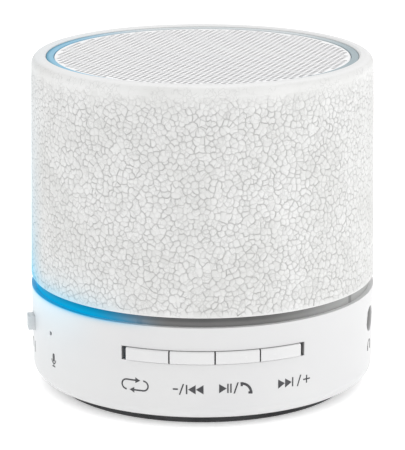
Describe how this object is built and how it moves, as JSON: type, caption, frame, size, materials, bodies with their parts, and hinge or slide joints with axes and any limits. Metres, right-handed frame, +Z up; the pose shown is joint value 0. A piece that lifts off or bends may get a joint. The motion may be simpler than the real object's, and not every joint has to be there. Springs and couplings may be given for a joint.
{
  "type": "bluetooth speaker",
  "caption": "Small cylindrical wireless loudspeaker with a crackle-finish sleeve over a glossy base, perforated top, glowing light rings, front keys and a side switch.",
  "frame": {"origin": "centre of the rubber foot's underside, on the body's axis", "axes": "+Z up along the body's axis towards the grille; -Y towards the front, through the middle of the key row; +X to the right seen from the front"},
  "size_m": [0.0609, 0.0603, 0.058],
  "materials": {
    "crackle_white": "white crackle lacquer, satin cells with grey cracks",
    "gloss_white": "smooth glossy white moulding",
    "key_white": "smooth glossy white moulding",
    "clear_guide": "clear acrylic light guide, lit blue from inside",
    "grille_white": "perforated sheet, white powder coat",
    "cloth": "thin woven scrim",
    "white_plastic": "plain white moulding",
    "steel": "plated sheet steel",
    "ferrite": "sintered ferrite, dull dark grey",
    "card": "black pressed card",
    "laminate": "tan laminate with tinned pads",
    "copper": "enamelled copper winding",
    "doped_cloth": "resin-doped corrugated cloth",
    "cone_paper": "black pressed paper",
    "rubber_black": "dull black rubber",
    "board_green": "green solder mask",
    "board_white": "white solder mask",
    "chip_black": "black moulding compound",
    "aluminium_can": "drawn aluminium can",
    "led_blue": "clear package, lit blue",
    "pouch": "silver laminate pouch",
    "foam": "grey foam tape",
    "wire_red": "insulated flexible lead"
  },
  "bodies": {
    "housing": {"upper_sleeve": "crackle_white", "light_guide": "clear_guide", "grille": "grille_white", "grille_cloth": "cloth", "chamber": "white_plastic", "driver_basket": "steel", "driver_magnet": "ferrite", "driver_top_plate": "steel", "driver_yoke": "steel", "driver_gasket": "card", "driver_terminals": "laminate", "driver_screws": "steel", "spider": "doped_cloth", "surround": "rubber_black", "base_shell": "gloss_white", "rubber_foot": "rubber_black", "case_screws": "steel", "main_board": "board_green", "board_screws": "steel", "bluetooth_chip": "chip_black", "amplifier_chip": "chip_black", "crystal": "steel", "capacitors": "aluminium_can", "led_board": "board_white", "leds": "led_blue", "battery": "pouch", "battery_pad": "foam", "speaker_leads": "wire_red", "battery_leads": "wire_red", "led_leads": "white_plastic", "aux_jack": "white_plastic", "usb_socket": "steel", "card_socket": "steel", "microphone": "aluminium_can", "microphone_boot": "rubber_black", "slide_switch": "steel", "tact_switches": "steel"},
    "mode_key": {"mode_key": "key_white", "mode_plunger": "chip_black"},
    "previous_key": {"previous_key": "key_white", "previous_plunger": "chip_black"},
    "play_key": {"play_key": "key_white", "play_plunger": "chip_black"},
    "next_key": {"next_key": "key_white", "next_plunger": "chip_black"},
    "power_knob": {"switch_knob": "gloss_white", "switch_lever": "chip_black"},
    "diaphragm": {"cone": "cone_paper", "dust_cap": "cone_paper", "voice_coil": "copper"}
  },
  "joints": [
    {"name": "mode_press", "type": "slide", "parent": "housing", "child": "mode_key", "axis": [0.3693, 0.9293, 0], "range_m": [0, 0.0004], "stiffness_N_per_m": 2500, "springref_m": -0.0001},
    {"name": "previous_press", "type": "slide", "parent": "housing", "child": "previous_key", "axis": [0.1258, 0.9921, 0], "range_m": [0, 0.0004], "stiffness_N_per_m": 2500, "springref_m": -0.0001},
    {"name": "play_press", "type": "slide", "parent": "housing", "child": "play_key", "axis": [-0.1258, 0.9921, 0], "range_m": [0, 0.0004], "stiffness_N_per_m": 2500, "springref_m": -0.0001},
    {"name": "next_press", "type": "slide", "parent": "housing", "child": "next_key", "axis": [-0.3693, 0.9293, 0], "range_m": [0, 0.0004], "stiffness_N_per_m": 2500, "springref_m": -0.0001},
    {"name": "power_slide", "type": "slide", "parent": "housing", "child": "power_knob", "axis": [-0.0872, 0.9962, 0], "range_m": [0, 0.0024]},
    {"name": "cone_stroke", "type": "slide", "parent": "housing", "child": "diaphragm", "axis": [0, 0, 1], "range_m": [-0.0005, 0.0005], "stiffness_N_per_m": 900, "deforming": ["surround", "spider"]}
  ]
}
